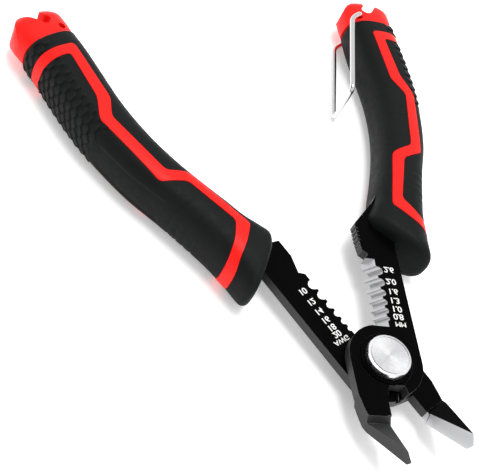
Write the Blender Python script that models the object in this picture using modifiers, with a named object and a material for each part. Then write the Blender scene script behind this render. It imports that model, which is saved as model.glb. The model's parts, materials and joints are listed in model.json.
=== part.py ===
"""Wire stripper with two bypass levers, spring-opened grips and a wire latch.

The tool lies flat on its grips: +Y runs from the cutting head to the handle ends and
+Z is up, away from the surface that it rests on. Each lever is drawn in its own frame:
n runs outward from the closing line, s along it from the pivot towards the handle's
end, and z up from the plane where the two levers meet. A lever's frame has its origin
on the pivot axis, so the lever turns about it, and the front and rear sides are mirror
images of each other but for the plane that each plate lies in.
"""

import math

import bmesh
import bpy
from mathutils import Matrix, Vector

MM = 0.001                    # the dimensions below are millimetres

# Where the pivot axis meets the levers' mating plane, in the object's frame.
PIVOT = (-0.565, -57.18, 9.5)
OPEN_ANGLE = {1: 16.57, -1: 16.1}     # degrees from the closing line, front and rear

GAP = 0.3                     # clearance between neighbouring pieces
PLATE = 3.5                   # thickness of a lever's steel plate
FACE = GAP / 2                # a plate's mating face, from the mating plane
BACK = FACE + PLATE           # a plate's outer face, from the mating plane

BOSS_RADIUS = 12.3
BAR_WIDTH = 12.5              # blade bar, from cutting edge to outer edge
BORE_RADIUS = 4.3
TANG_END = 128.0

# Stripping notches: their tips along the cutting edge and the flat on each tip.
NOTCH_TIPS = (13.6, 16.3, 19.4, 22.8, 26.5, 30.8, 35.4)
TIP_FLAT = 0.8
NOTCH_PROUD = 0.2             # how far each notch's axis stands out of the bevel
BEVEL = 3.5                   # width of the ground bevel behind the cutting edge
BEVEL_LAND = 0.1              # flat left along the cutting edge
BEVEL_SPAN = (12.0, 37.6)

# Gripping bulge beyond the notches, with its fine teeth.
GRIP_TEETH = 6
GRIP_TEETH_SPAN = (41.0, 50.5)

# Cutting head: corners of the ground face, as (n, s, z).
GROUND_FACE = ((-2.0, -20.0, 0.6), (-0.45, -22.3, -1.7), (-0.55, -35.4, 5.0))
GROUND_TOOL = (26.0, 16.0, 10.0)
GROUND_START = 0.4            # how far before the jaw's root the grinding starts
JAW_TOP = ((-20.6, 1.0), (-33.8, 9.5))
JAW_TIP = ((-36.0, 7.5), (-35.4, 5.0))
JAW_ROOT = (-22.3, -1.7)

# Pivot hardware.
HEAD_RADIUS = 7.3
HEAD_TOP = 6.3
HEAD_RIM = 0.5
WASHER_RADIUS = 8.6
WASHER_THICK = 0.6
WASHER_RECESS = 0.5
SLEEVE_RADIUS = 4.0
SHANK_RADIUS = 2.7
SHANK_END = -BACK - 2.9
NUT_RADIUS = 6.4
NUT_HEIGHT = 2.2

# Opening spring, in a ring pocket cut half into each plate.
SPRING_RADIUS = 6.4
SPRING_WIRE = 0.45
SPRING_RISE = 1.6             # from the rear leg's height to the front leg's
POCKET = (5.4, 7.4)
POCKET_DEPTH = 1.5
SLOT_DEPTH = 1.4
SLOT_HALF_WIDTH = 0.95
PIN_RADIUS = 0.8

# Each spring leg leaves the coil along its tangent, with the tool open: the angle in
# degrees where it leaves, its length, and how far along it its peg stands. The front
# leg lies in the front plate (+1) and the rear leg in the rear plate (-1).
LEGS = {1: (540.0, 9.6, 8.4), -1: (-30.0, 11.6, 7.6)}

# Slot in the grip for the lever's tang, as (n, s): the tang with clearance all round.
TANG_ROOM = ((-1.5, 56.6), (7.2, 62.0), (15.2, 76.4), (20.1, 90.3), (22.2, 108.0),
             (21.8, 128.4), (29.6, 128.4), (31.0, 108.0), (29.5, 89.8), (25.0, 75.6),
             (19.5, 61.6), (12.95, 43.8), (12.95, 30.0), (-3.0, 30.0), (-3.0, 56.0))

# Grip: stations along the handle, as (s, centre n, half width, half height, tilt).
# The tilt is how far a station leans along s for each millimetre of n.
GRIP_STATIONS = (
    (43.8, 13.9, 7.2, 6.6, -0.72),
    (44.6, 13.9, 9.2, 8.6, -0.72),
    (47.2, 14.3, 10.0, 9.5, -0.70),
    (52.5, 15.4, 9.3, 9.5, -0.56),
    (59.0, 17.1, 8.5, 9.5, -0.38),
    (67.0, 19.1, 8.5, 9.5, -0.18),
    (76.0, 21.6, 8.8, 9.5, 0.0),
    (88.0, 24.9, 8.9, 9.5, 0.0),
    (101.0, 26.9, 8.9, 9.5, 0.0),
    (115.0, 27.4, 9.1, 9.5, 0.0),
    (128.0, 26.4, 9.4, 9.5, 0.0),
    (139.0, 25.3, 9.5, 9.4, 0.0),
    (147.8, 24.8, 9.8, 8.6, 0.0),
)
GRIP_AROUND = 24              # points around a grip section
GRIP_POWER = 2.6              # a section's roundness: 2 is an ellipse
COVER_THICK = 2.4             # soft cover over the hard core
CORE_START = 50.0
CORE_END = 145.5

# Raised stripe: its inner and outer edges on the grip's face, as (n, s).
STRIPE_INNER = ((46.0, 33.0), (27.0, 44.6), (23.0, 48.8), (17.5, 52.6), (12.0, 57.4), (17.6, 81.5),
                (25.2, 85.2), (28.6, 110.0), (24.2, 116.8), (21.6, 141.2), (46.0, 142.8))
STRIPE_OUTER = ((46.0, 38.0), (28.0, 48.4), (24.5, 51.6), (20.5, 55.0), (16.0, 60.2), (21.0, 78.8),
                (29.0, 82.8), (32.4, 111.0), (28.2, 118.8), (25.6, 137.6), (46.0, 138.6))

# End cap: its outline with the two ears and the latch seat between them, as (n, s).
CAP_START = 148.1
CAP_STATIONS = (
    (148.1, 24.6, 9.9, 7.4, 0.0),
    (154.0, 24.4, 10.3, 7.3, 0.0),
    (158.4, 24.2, 9.9, 6.4, 0.0),
    (160.8, 24.1, 8.2, 4.6, 0.0),
)
SEAT = (22.9, 155.0)
SEAT_RADIUS = 2.1
SEAT_ARC = (120.0, 330.0)
INNER_EAR = ((13.4, 147.0), (13.4, 151.5), (14.2, 155.0), (16.0, 158.0), (18.8, 160.0), (21.4, 160.3),
             (22.4, 159.4))
OUTER_EAR = ((28.2, 159.4), (29.3, 160.2), (30.6, 160.0), (32.6, 158.2), (34.4, 153.6), (35.6, 147.0))
HINGE = (19.2, 150.8)
HINGE_HOLE = 1.3
SPIGOT = (3.4, 3.4, 12.0)     # half width, half height and length into the core
SPIGOT_LINE = 25.0            # where the spigot's middle lies, as n

# Latch: a bent wire, as (n, s) from its hinge to its cross bar.
LATCH_WIRE = 0.95
LATCH_SPREAD = 8.5            # centre of each arm, from the mating plane
LATCH_STUB = 3.6              # how deep each end reaches into the hinge hole
LATCH_KNEE = (14.6, 147.0)
LATCH_BAR = (7.4, 109.1)
BEND_RADIUS = 2.4


def clear_scene():
    """Remove whatever the file holds."""
    for item in list(bpy.data.objects):
        bpy.data.objects.remove(item, do_unlink=True)


def collection(name):
    """Return a new collection linked to the scene."""
    group = bpy.data.collections.new(name)
    bpy.context.scene.collection.children.link(group)
    return group


def material(name, colour, roughness, metallic=0.0):
    """Return a Principled material."""
    finish = bpy.data.materials.new(name)
    finish.use_nodes = True
    shader = finish.node_tree.nodes["Principled BSDF"]
    shader.inputs["Base Color"].default_value = (*colour, 1.0)
    shader.inputs["Roughness"].default_value = roughness
    shader.inputs["Metallic"].default_value = metallic
    return finish


def place(name, mesh, group, parent, finish=None):
    """Link a mesh as an object, under its parent's frame."""
    item = bpy.data.objects.new(name, mesh)
    group.objects.link(item)
    if finish:
        mesh.materials.clear()
        mesh.materials.append(finish)
    item.parent = parent
    return item


def as_cutter(item):
    """Mark an object as a tool that only shapes other objects."""
    item.hide_render = True
    item.display_type = "WIRE"
    return item


def boolean(item, tool, operation):
    """Add an exact Boolean to an object."""
    step = item.modifiers.new(f"{operation.lower()} {tool.name}", "BOOLEAN")
    step.operation = operation
    step.object = tool
    step.solver = "EXACT"


def shade(item, angle=35.0):
    """Shade an object's mesh smooth but for its real corners."""
    item.data.shade_smooth()
    item.data.set_sharp_from_angle(angle=math.radians(angle))


def closed_mesh(name, work):
    """Turn a bmesh into a mesh whose faces point out."""
    bmesh.ops.recalc_face_normals(work, faces=work.faces)
    mesh = bpy.data.meshes.new(name)
    work.to_mesh(mesh)
    work.free()
    return mesh


def curve_mesh(name, curve):
    """Return a curve's solid as a welded mesh."""
    guide = bpy.data.objects.new(name, curve)
    bpy.context.scene.collection.objects.link(guide)
    depsgraph = bpy.context.evaluated_depsgraph_get()
    mesh = bpy.data.meshes.new_from_object(guide.evaluated_get(depsgraph))
    mesh.name = name
    bpy.data.objects.remove(guide, do_unlink=True)
    work = bmesh.new()
    work.from_mesh(mesh)
    bmesh.ops.remove_doubles(work, verts=work.verts, dist=0.001 * MM)
    bmesh.ops.recalc_face_normals(work, faces=work.faces)
    work.to_mesh(mesh)
    work.free()
    return mesh


def outline_mesh(name, points, low, high):
    """Extrude a flat outline, given in millimetres, from height low to high."""
    curve = bpy.data.curves.new(name, "CURVE")
    curve.dimensions = "2D"
    curve.fill_mode = "BOTH"
    curve.extrude = (high - low) / 2 * MM
    spline = curve.splines.new("POLY")
    spline.points.add(len(points) - 1)
    for point, (x, y) in zip(spline.points, points):
        point.co = (x * MM, y * MM, 0.0, 1.0)
    spline.use_cyclic_u = True
    mesh = curve_mesh(name, curve)
    mesh.transform(Matrix.Translation((0.0, 0.0, (high + low) / 2 * MM)))
    return mesh


def wire_mesh(name, points, radius, resolution=2):
    """Return a round wire through points given in millimetres."""
    curve = bpy.data.curves.new(name, "CURVE")
    curve.dimensions = "3D"
    curve.bevel_depth = radius * MM
    curve.bevel_resolution = resolution
    curve.use_fill_caps = True
    spline = curve.splines.new("POLY")
    spline.points.add(len(points) - 1)
    for point, place_mm in zip(spline.points, points):
        point.co = (*(value * MM for value in place_mm), 1.0)
    return curve_mesh(name, curve)


def cylinder_mesh(name, radius, low, high, vertices=32, at=(0.0, 0.0)):
    """Return an upright cylinder between two heights."""
    work = bmesh.new()
    centre = Matrix.Translation((at[0] * MM, at[1] * MM, (low + high) / 2 * MM))
    bmesh.ops.create_cone(work, cap_ends=True, segments=vertices, radius1=radius * MM,
                          radius2=radius * MM, depth=(high - low) * MM, matrix=centre)
    return closed_mesh(name, work)


def box_mesh(name, size, matrix):
    """Return a box of the given size in millimetres, set by a matrix."""
    work = bmesh.new()
    bmesh.ops.create_cube(work, size=1.0)
    bmesh.ops.scale(work, vec=[value * MM for value in size], verts=work.verts)
    bmesh.ops.transform(work, matrix=matrix, verts=work.verts)
    return closed_mesh(name, work)


def arc(centre, radius, start, end, steps):
    """Return points on an arc, with its angles in degrees."""
    angles = (math.radians(start + (end - start) * i / steps) for i in range(steps + 1))
    return [(centre[0] + radius * math.cos(a), centre[1] + radius * math.sin(a)) for a in angles]


def mirrored(points, side):
    """Turn (n, ...) points into (x, ...) points on one side of the tool."""
    return [(side * point[0], *point[1:]) for point in points]


def rounded_path(points, radius, steps=4):
    """Round the inner corners of a path with quadratic bends."""
    corners = [Vector(point) for point in points]
    path = [corners[0]]
    for before, corner, after in zip(corners, corners[1:], corners[2:]):
        first = corner + (before - corner).normalized() * radius
        last = corner + (after - corner).normalized() * radius
        for i in range(steps + 1):
            t = i / steps
            path.append(first * (1 - t) ** 2 + corner * 2 * t * (1 - t) + last * t ** 2)
    path.append(corners[-1])
    return path


# ---------------------------------------------------------------- levers

def lever_outline(front):
    """Return a lever's flat outline, as (n, s), from its tang round to its jaw."""
    tang = [(8.0, 62.0), (16.0, 76.0), (20.8, 90.0), (22.6, 108.0), (22.2, TANG_END),
            (29.2, TANG_END), (30.6, 108.0), (29.0, 90.0), (24.4, 76.0), (19.0, 62.0),
            (BAR_WIDTH, 44.0)]
    boss_outer = arc((0.0, 0.0), BAR_WIDTH, 0.0, -66.0 if front else -82.0, 10)
    crotch = [(4.4, -8.8), (-0.8, -8.8)] if front else []
    jaw = [(-2.3, -13.0), (-2.3, -19.5), (-0.45, -22.0), (-0.45, -36.2), (-1.4, -36.2),
           (-9.8, -20.6), (-10.6, -18.0), (-12.0, -12.5)]
    boss_inner = arc((0.0, 0.0), BOSS_RADIUS, 180.0, 90.0, 10)
    toothed = [(0.0, 37.4), (1.5, 38.8), (1.5, 39.6), (-0.2, 40.8), (-0.8, 46.0), (-0.8, 51.5)]
    plain = [(0.0, 37.4), (1.9, 38.9), (-0.2, 45.0), (-0.2, 51.5), (5.0, 52.6)]
    return tang + boss_outer + crotch + jaw + boss_inner + (toothed if front else plain)


def lever_profile(front):
    """Return a lever's side view, as (s, z): a plate whose jaw bends up to the tip."""
    jaw = [JAW_TOP[1], *JAW_TIP, JAW_ROOT]
    if front:
        body = [(-13.2, FACE), (TANG_END + 1, FACE), (TANG_END + 1, BACK), (-19.5, BACK)]
        return [JAW_TOP[0], *jaw, (-20.4, -1.9), (-14.4, -1.2), *body]
    body = [(-19.0, -BACK), (TANG_END + 1, -BACK), (TANG_END + 1, -FACE), (-19.2, -FACE)]
    return [(-20.0, 0.6), *jaw, *body]


def side_view_matrix():
    """Turn an outline drawn in x and y into one standing in y and z."""
    return Matrix(((0, 0, 1, 0), (1, 0, 0, 0), (0, 1, 0, 0), (0, 0, 0, 1)))


def bevel_tools(side, face, group, frame):
    """Yield the ground bevel behind the cutting edge and the notches down it."""
    run = 2.0
    start, end = BEVEL_SPAN
    wedge = [(-run, (FACE - run - BEVEL_LAND) * face), (BEVEL + run + BEVEL_LAND, (BACK + run) * face),
             (-run, (BACK + run) * face)]
    mesh = outline_mesh(f"bevel {side}", mirrored(wedge, side), start, end)
    upright = Matrix(((1, 0, 0, 0), (0, 0, 1, 0), (0, 1, 0, 0), (0, 0, 0, 1)))
    mesh.transform(upright)
    mesh.flip_normals()
    yield as_cutter(place(mesh.name, mesh, group, frame))
    for index, (low, high) in enumerate(zip(NOTCH_TIPS, NOTCH_TIPS[1:])):
        radius = (high - low - TIP_FLAT) / 2
        mesh = cylinder_mesh(f"notch {side} {index}", radius, -8.0, 8.0, 12)
        lean = Matrix.Rotation(side * face * math.radians(45.0), 4, "Y")
        middle = Vector((side * (BEVEL / 2 - NOTCH_PROUD), (low + high) / 2,
                         face * (FACE + PLATE / 2 + NOTCH_PROUD)))
        mesh.transform(Matrix.Translation(middle * MM) @ lean)
        yield as_cutter(place(mesh.name, mesh, group, frame))


def tooth_tools(side, group, frame):
    """Yield the small grooves between the gripping teeth."""
    start, end = GRIP_TEETH_SPAN
    pitch = (end - start) / GRIP_TEETH
    for index in range(GRIP_TEETH):
        s = start + (index + 0.5) * pitch
        groove = [(-2.0, s - pitch * 0.6), (0.0, s), (-2.0, s + pitch * 0.6)]
        mesh = outline_mesh(f"tooth {side} {index}", mirrored(groove, side), -BACK - 1, BACK + 1)
        yield as_cutter(place(mesh.name, mesh, group, frame))


def ground_face_tool(side, group, frame):
    """Return the block that grinds the jaw's closing face."""
    top, root, tip = (Vector((side * n, s, z)) for n, s, z in GROUND_FACE)
    along = (tip - root).normalized()
    normal = along.cross(top - root).normalized()
    if normal.x * side < 0:
        normal = -normal
    across = normal.cross(along)
    length, width, depth = GROUND_TOOL
    middle = root + along * (length / 2 - GROUND_START) + normal * (depth / 2)
    turn = Matrix((along, across, normal)).transposed().to_4x4()
    mesh = box_mesh(f"ground face {side}", (length, width, depth), Matrix.Translation(middle * MM) @ turn)
    return as_cutter(place(mesh.name, mesh, group, frame))


def leg_line(face):
    """Return where a spring leg leaves the coil and its direction, as (x, y) vectors."""
    angle = math.radians(LEGS[face][0])
    start = Vector((math.cos(angle), math.sin(angle))) * SPRING_RADIUS
    return start, Vector((-math.sin(angle), math.cos(angle))) * face


def in_lever(point, side):
    """Turn an (x, y) point of the open tool into its lever's own frame."""
    return tuple(Matrix.Rotation(math.radians(side * OPEN_ANGLE[side]), 2) @ Vector(point))


def pin_spot(side, face):
    """Return where a spring leg's peg stands, in its lever's frame."""
    start, along = leg_line(face)
    outward = Vector((-along.y, along.x)) * -face
    return in_lever(start + along * LEGS[face][2] + outward * (SPRING_WIRE + PIN_RADIUS + FACE), side)


def spring_room(side, face, group, frame):
    """Yield the leg's slot, the ring pocket and the peg's hole in a plate."""
    start, along = leg_line(face)
    across = Vector((-along.y, along.x)) * SLOT_HALF_WIDTH
    end = start + along * (LEGS[face][1] + 1.6)
    corners = [in_lever(point, side) for point in (start + across, end + across, end - across, start - across)]
    slot = outline_mesh(f"leg slot {side}", corners, *sorted((-face, face * (FACE + SLOT_DEPTH))))
    yield as_cutter(place(slot.name, slot, group, frame))
    low, high = sorted((-face * 0.5, face * (FACE + POCKET_DEPTH)))
    ring = cylinder_mesh(f"pocket {side}", POCKET[1], low, high)
    island = cylinder_mesh(f"island {side}", POCKET[0], low - 1, high + 1)
    pocket = as_cutter(place(ring.name, ring, group, frame))
    boolean(pocket, as_cutter(place(island.name, island, group, frame)), "DIFFERENCE")
    yield pocket
    hole = cylinder_mesh(f"peg hole {side}", PIN_RADIUS + GAP, *sorted((-face * 0.7, face * 2.9)), 12,
                         pin_spot(side, face))
    yield as_cutter(place(hole.name, hole, group, frame))


def lever(name, side, face, group, cutters, frame, finish):
    """Make one lever: boss, blade bar, bent jaw and tang, cut from one plate."""
    reach = 60.0
    plan = outline_mesh(name, mirrored(lever_outline(face > 0), side), -reach / 2, reach / 2)
    item = place(name, plan, group, frame, finish)
    view = outline_mesh(f"side view {side}", lever_profile(face > 0), -reach, reach)
    view.transform(side_view_matrix())
    boolean(item, as_cutter(place(view.name, view, cutters, frame)), "INTERSECT")
    tools = [*bevel_tools(side, face, cutters, frame), ground_face_tool(side, cutters, frame),
             *spring_room(side, face, cutters, frame)]
    if face > 0:
        tools += tooth_tools(side, cutters, frame)
    bore = cylinder_mesh(f"bore {side}", BORE_RADIUS, -BACK - 1, BACK + 1)
    tools.append(as_cutter(place(bore.name, bore, cutters, frame)))
    if face > 0:
        recess = cylinder_mesh("washer recess", WASHER_RADIUS + GAP, BACK - WASHER_RECESS, BACK + 1, 48)
        tools.append(as_cutter(place(recess.name, recess, cutters, frame)))
    for tool in tools:
        boolean(item, tool, "DIFFERENCE")
    shade(item, 20.0)
    return item


# ---------------------------------------------------------------- pivot and spring

def turned(name, profile, group, frame, finish, steps=40):
    """Turn a closed profile of (radius, height) points about the pivot axis."""
    work = bmesh.new()
    closed = profile[0] == profile[-1]
    corners = [work.verts.new((r * MM, 0.0, z * MM)) for r, z in (profile[:-1] if closed else profile)]
    if closed:
        corners.append(corners[0])
    for first, second in zip(corners, corners[1:]):
        work.edges.new((first, second))
    mesh = bpy.data.meshes.new(name)
    work.to_mesh(mesh)
    work.free()
    item = place(name, mesh, group, frame, finish)
    screw = item.modifiers.new("turn", "SCREW")
    screw.steps = screw.render_steps = steps
    screw.use_merge_vertices = True
    screw.merge_threshold = 0.00001
    shade(item)
    return item


def pivot_hardware(group, cutters, frame, steel, dark):
    """Make the screw, sleeve, two washers and nut that hold the levers together."""
    seat = BACK - WASHER_RECESS + WASHER_THICK + GAP
    groove = HEAD_RADIUS - 1.1
    screw = [(0.0, HEAD_TOP), (groove, HEAD_TOP), (groove, HEAD_TOP - 0.35),
             (groove + 0.3, HEAD_TOP - 0.35), (groove + 0.3, HEAD_TOP),
             (HEAD_RADIUS - HEAD_RIM, HEAD_TOP), (HEAD_RADIUS, HEAD_TOP - HEAD_RIM),
             (HEAD_RADIUS, seat), (SHANK_RADIUS, seat), (SHANK_RADIUS, SHANK_END), (0.0, SHANK_END)]
    turned("pivot_screw", screw, group, frame, steel)
    inner = SHANK_RADIUS + GAP
    for name, low, high, hole, outer, finish in (
            ("pivot_sleeve", -BACK, BACK - WASHER_RECESS, inner, SLEEVE_RADIUS, steel),
            ("front_washer", BACK - WASHER_RECESS + GAP / 2, seat - GAP / 2, inner, WASHER_RADIUS, dark),
            ("rear_washer", -BACK - GAP - WASHER_THICK, -BACK - GAP, inner, HEAD_RADIUS, dark)):
        ring = [(hole, high), (outer, high), (outer, low), (hole, low), (hole, high)]
        turned(name, ring, group, frame, finish)
    top = -BACK - 2 * GAP - WASHER_THICK
    hexagon = arc((0.0, 0.0), NUT_RADIUS, 0.0, 300.0, 5)
    nut = place("pivot_nut", outline_mesh("pivot_nut", hexagon, top - NUT_HEIGHT, top), group, frame, dark)
    thread = cylinder_mesh("nut bore", inner, top - NUT_HEIGHT - 1, top + 1, 24)
    boolean(nut, as_cutter(place(thread.name, thread, cutters, frame)), "DIFFERENCE")


def spring_points():
    """Return the spring's centre line: a coil round the sleeve with a leg at each end."""
    steps = 40
    first, last = LEGS[-1][0], LEGS[1][0]
    coil = []
    for i in range(steps + 1):
        t = i / steps
        angle = math.radians(first + (last - first) * t)
        coil.append((SPRING_RADIUS * math.cos(angle), SPRING_RADIUS * math.sin(angle), SPRING_RISE * (t - 0.5)))
    ends = []
    for face in (-1, 1):
        start, along = leg_line(face)
        ends.append((*(start + along * LEGS[face][1]), face * SPRING_RISE / 2))
    return [ends[0], *coil, ends[1]]


def torsion_spring(group, frame, finish):
    """Make the opening spring: the coil, and legs that reach down between the jaws."""
    item = place("torsion_spring", wire_mesh("torsion_spring", spring_points(), SPRING_WIRE),
                 group, frame, finish)
    shade(item)
    return item


def spring_pin(name, side, face, group, frame, finish):
    """Make the peg that a spring leg bears on, standing in its plate's hole."""
    low, high = sorted((face * 0.4, face * 2.7))
    peg = cylinder_mesh(name, PIN_RADIUS, low, high, 12, pin_spot(side, face))
    return place(name, peg, group, frame, finish)


# ---------------------------------------------------------------- grips

def section(station, side, inset=0.0):
    """Return one grip section as a ring of (x, y, z) points."""
    s, centre, half_width, half_height, tilt = station
    power = 2.0 / GRIP_POWER
    half_width -= inset
    flat = math.sin(math.tau * 0.25 - math.pi / GRIP_AROUND) ** power
    half_height = (half_height - inset) / flat
    ring = []
    for i in range(GRIP_AROUND):
        angle = math.tau * (i + 0.5) / GRIP_AROUND
        c, z = math.cos(angle), math.sin(angle)
        out = half_width * math.copysign(abs(c) ** power, c)
        up = half_height * math.copysign(abs(z) ** power, z)
        ring.append((side * (centre + out), s + tilt * out, up))
    return ring


def loft_mesh(name, rings):
    """Skin a run of rings, all with the same number of points, and cap both ends."""
    work = bmesh.new()
    rows = [[work.verts.new([value * MM for value in point]) for point in ring] for ring in rings]
    count = len(rows[0])
    for first, second in zip(rows, rows[1:]):
        for i in range(count):
            j = (i + 1) % count
            work.faces.new((first[i], first[j], second[j], second[i]))
    work.faces.new(rows[0])
    work.faces.new(rows[-1])
    return closed_mesh(name, work)


def station_at(s):
    """Return the grip station at a distance along the handle, between two given ones."""
    for low, high in zip(GRIP_STATIONS, GRIP_STATIONS[1:]):
        if low[0] <= s <= high[0]:
            t = (s - low[0]) / (high[0] - low[0])
            return tuple(a + (b - a) * t for a, b in zip(low, high))
    return GRIP_STATIONS[-1]


def core_mesh(name, side, extra):
    """Return the core's rod inside the grip, made larger all round by extra."""
    inner = [station[0] for station in GRIP_STATIONS if CORE_START < station[0] < CORE_END]
    stations = [station_at(s) for s in (CORE_START, *inner, CORE_END)]
    stations[0] = (CORE_START - extra, *stations[0][1:])
    stations[-1] = (CORE_END + extra, *stations[-1][1:])
    return loft_mesh(name, [section(station, side, COVER_THICK - extra) for station in stations])


def tang_room(side, face, group, frame):
    """Return the slot that a lever's tang fills, with clearance all round."""
    low, high = sorted((face * (FACE - GAP), face * (BACK + GAP)))
    mesh = outline_mesh(f"tang room {side}", mirrored(TANG_ROOM, side), low, high)
    return as_cutter(place(mesh.name, mesh, group, frame))


def grip(prefix, side, face, group, cutters, frame, red, black):
    """Make a grip: hard core with its stripe, soft cover, palm panel and end cap."""
    tall = 15.0
    envelope = [section(station, side) for station in GRIP_STATIONS]
    slot = tang_room(side, face, cutters, frame)

    band_outline = STRIPE_INNER + tuple(reversed(STRIPE_OUTER))
    band_mesh = outline_mesh(f"band {side}", mirrored(band_outline, side), -tall, tall)
    band = as_cutter(place(band_mesh.name, band_mesh, cutters, frame))
    skin = loft_mesh(f"stripe {side}", envelope)
    stripe = as_cutter(place(skin.name, skin, cutters, frame))
    boolean(stripe, band, "INTERSECT")
    core = place(f"{prefix}_core", core_mesh(f"{prefix}_core", side, 0.0), group, frame, red)
    boolean(core, stripe, "UNION")
    boolean(core, slot, "DIFFERENCE")
    socket = spigot_mesh(f"socket {side}", side, GAP)
    boolean(core, as_cutter(place(socket.name, socket, cutters, frame)), "DIFFERENCE")

    hollow_mesh = core_mesh(f"hollow {side}", side, GAP)
    hollow = as_cutter(place(hollow_mesh.name, hollow_mesh, cutters, frame))
    outer_region = outline_mesh(f"outer region {side}", mirrored(grown_inner(), side), -tall, tall)
    region = as_cutter(place(outer_region.name, outer_region, cutters, frame))
    cover = place(f"{prefix}_sleeve", loft_mesh(f"{prefix}_sleeve", envelope), group, frame, black)
    through = spigot_mesh(f"through {side}", side, GAP)
    for tool in (hollow, region, slot, as_cutter(place(through.name, through, cutters, frame))):
        boolean(cover, tool, "DIFFERENCE")

    panel_region = outline_mesh(f"panel region {side}", mirrored(shrunk_outer(), side), -tall, tall)
    panel = place(f"{prefix}_palm_panel", loft_mesh(f"{prefix}_palm_panel", envelope), group, frame, black)
    boolean(panel, as_cutter(place(panel_region.name, panel_region, cutters, frame)), "INTERSECT")
    boolean(panel, hollow, "DIFFERENCE")
    for item in (core, cover, panel):
        shade(item)


def offset_line(points, distance):
    """Shift an open line of points sideways, to its left, by a distance."""
    line = [Vector(point) for point in points]
    moved = []
    for i, point in enumerate(line):
        before = (point - line[i - 1]).normalized() if i > 0 else None
        after = (line[i + 1] - point).normalized() if i < len(line) - 1 else None
        directions = [d for d in (before, after) if d]
        normals = [Vector((-d.y, d.x)) for d in directions]
        middle = sum(normals, Vector((0.0, 0.0))).normalized()
        moved.append(tuple(point + middle * distance / middle.dot(normals[0])))
    return moved


def grown_inner():
    """Return the region outside the stripe's inner edge, with clearance to the stripe."""
    return offset_line(STRIPE_INNER, GAP)


def shrunk_outer():
    """Return the region inside the stripe's outer edge, with clearance to the stripe."""
    return offset_line(STRIPE_OUTER, -GAP)


def spigot_mesh(name, side, extra):
    """Return the end cap's spigot, made larger all round by extra."""
    half_width, half_height, length = SPIGOT
    size = (2 * (half_width + extra), length + 1.0 + extra, 2 * (half_height + extra))
    middle = Vector((side * SPIGOT_LINE, CAP_START - (length + extra) / 2 + 0.5, 0.0))
    return box_mesh(name, size, Matrix.Translation(middle * MM))


def cap_outline():
    """Return the end cap's outline: inner ear, latch seat and outer ear."""
    seat = arc(SEAT, SEAT_RADIUS, *SEAT_ARC, 10)
    return [*INNER_EAR, *seat, *OUTER_EAR]


def end_cap(prefix, side, group, cutters, frame, red):
    """Make the end cap, with the latch's hinge hole in its inner ear."""
    item = place(f"{prefix}_cap", loft_mesh(f"{prefix}_cap", [section(s, side) for s in CAP_STATIONS]),
                 group, frame, red)
    ears = outline_mesh(f"ears {side}", mirrored(cap_outline(), side), -12.0, 12.0)
    boolean(item, as_cutter(place(ears.name, ears, cutters, frame)), "INTERSECT")
    spigot = spigot_mesh(f"spigot {side}", side, 0.0)
    boolean(item, as_cutter(place(spigot.name, spigot, cutters, frame)), "UNION")
    hole = cylinder_mesh(f"hinge hole {side}", HINGE_HOLE, -12.0, 12.0, 16, (side * HINGE[0], HINGE[1]))
    boolean(item, as_cutter(place(hole.name, hole, cutters, frame)), "DIFFERENCE")
    shade(item)
    return item


def latch_bail(group, frame, finish):
    """Make the latch: a wire whose ends turn into the hinge hole and whose bar spans it."""
    corners = [(*HINGE, LATCH_STUB), (*HINGE, LATCH_SPREAD), (*LATCH_KNEE, LATCH_SPREAD),
               (*LATCH_BAR, LATCH_SPREAD)]
    corners = [(n - HINGE[0], s - HINGE[1], z) for n, s, z in corners]
    corners += [(n, s, -z) for n, s, z in reversed(corners)]
    path = rounded_path(corners, BEND_RADIUS)
    item = place("latch_bail", wire_mesh("latch_bail", path, LATCH_WIRE), group, frame, finish)
    shade(item)
    return item


def joint_frame(name, group, location, turn_degrees, parent=None):
    """Return an empty on a joint's axis."""
    empty = bpy.data.objects.new(name, None)
    group.objects.link(empty)
    empty.parent = parent
    empty.location = [value * MM for value in location]
    empty.rotation_euler = (0.0, 0.0, math.radians(turn_degrees))
    return empty


def main():
    """Build the tool."""
    clear_scene()
    parts = collection("wire_stripper")
    cutters = collection("cutters")
    blackened = material("blackened_steel", (0.012, 0.012, 0.013), 0.35, 0.9)
    brushed = material("brushed_steel", (0.72, 0.72, 0.74), 0.3, 1.0)
    wire = material("spring_wire", (0.25, 0.25, 0.27), 0.35, 1.0)
    chrome = material("chrome", (0.8, 0.8, 0.82), 0.12, 1.0)
    red = material("red_plastic", (0.9, 0.02, 0.012), 0.4)
    black = material("black_rubber", (0.018, 0.019, 0.02), 0.6)

    pivot = joint_frame("pivot_axis", parts, PIVOT, 0.0)
    front = joint_frame("front_handle", parts, (0.0, 0.0, 0.0), -OPEN_ANGLE[1], pivot)
    rear = joint_frame("rear_handle", parts, (0.0, 0.0, 0.0), OPEN_ANGLE[-1], pivot)
    hinge = joint_frame("latch_hinge", parts, (HINGE[0], HINGE[1], 0.0), 0.0, front)

    lever("front_lever", 1, 1, parts, cutters, front, blackened)
    lever("rear_lever", -1, -1, parts, cutters, rear, blackened)
    pivot_hardware(parts, cutters, pivot, brushed, blackened)
    torsion_spring(parts, pivot, wire)
    spring_pin("front_spring_pin", 1, 1, parts, front, wire)
    spring_pin("rear_spring_pin", -1, -1, parts, rear, wire)
    for prefix, side, frame in (("front", 1, front), ("rear", -1, rear)):
        grip(prefix, side, side, parts, cutters, frame, red, black)
        end_cap(prefix, side, parts, cutters, frame, red)
    latch_bail(parts, hinge, chrome)


main()
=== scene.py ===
"""Wire stripper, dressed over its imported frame.

Each lever and its grip are drawn in that lever's own frame, in millimetres: n runs outward
from the closing line, s along the lever from the pivot towards the handle's end, and z up
from the plane where the two levers meet. A Handle turns such a point into the tool's frame.
"""

from __future__ import annotations

import json
import logging
import math
from dataclasses import dataclass
from enum import Enum, IntEnum
from typing import Iterable, Sequence

import bmesh
import bpy
import numpy as np
from mathutils import Matrix, Vector

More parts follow.
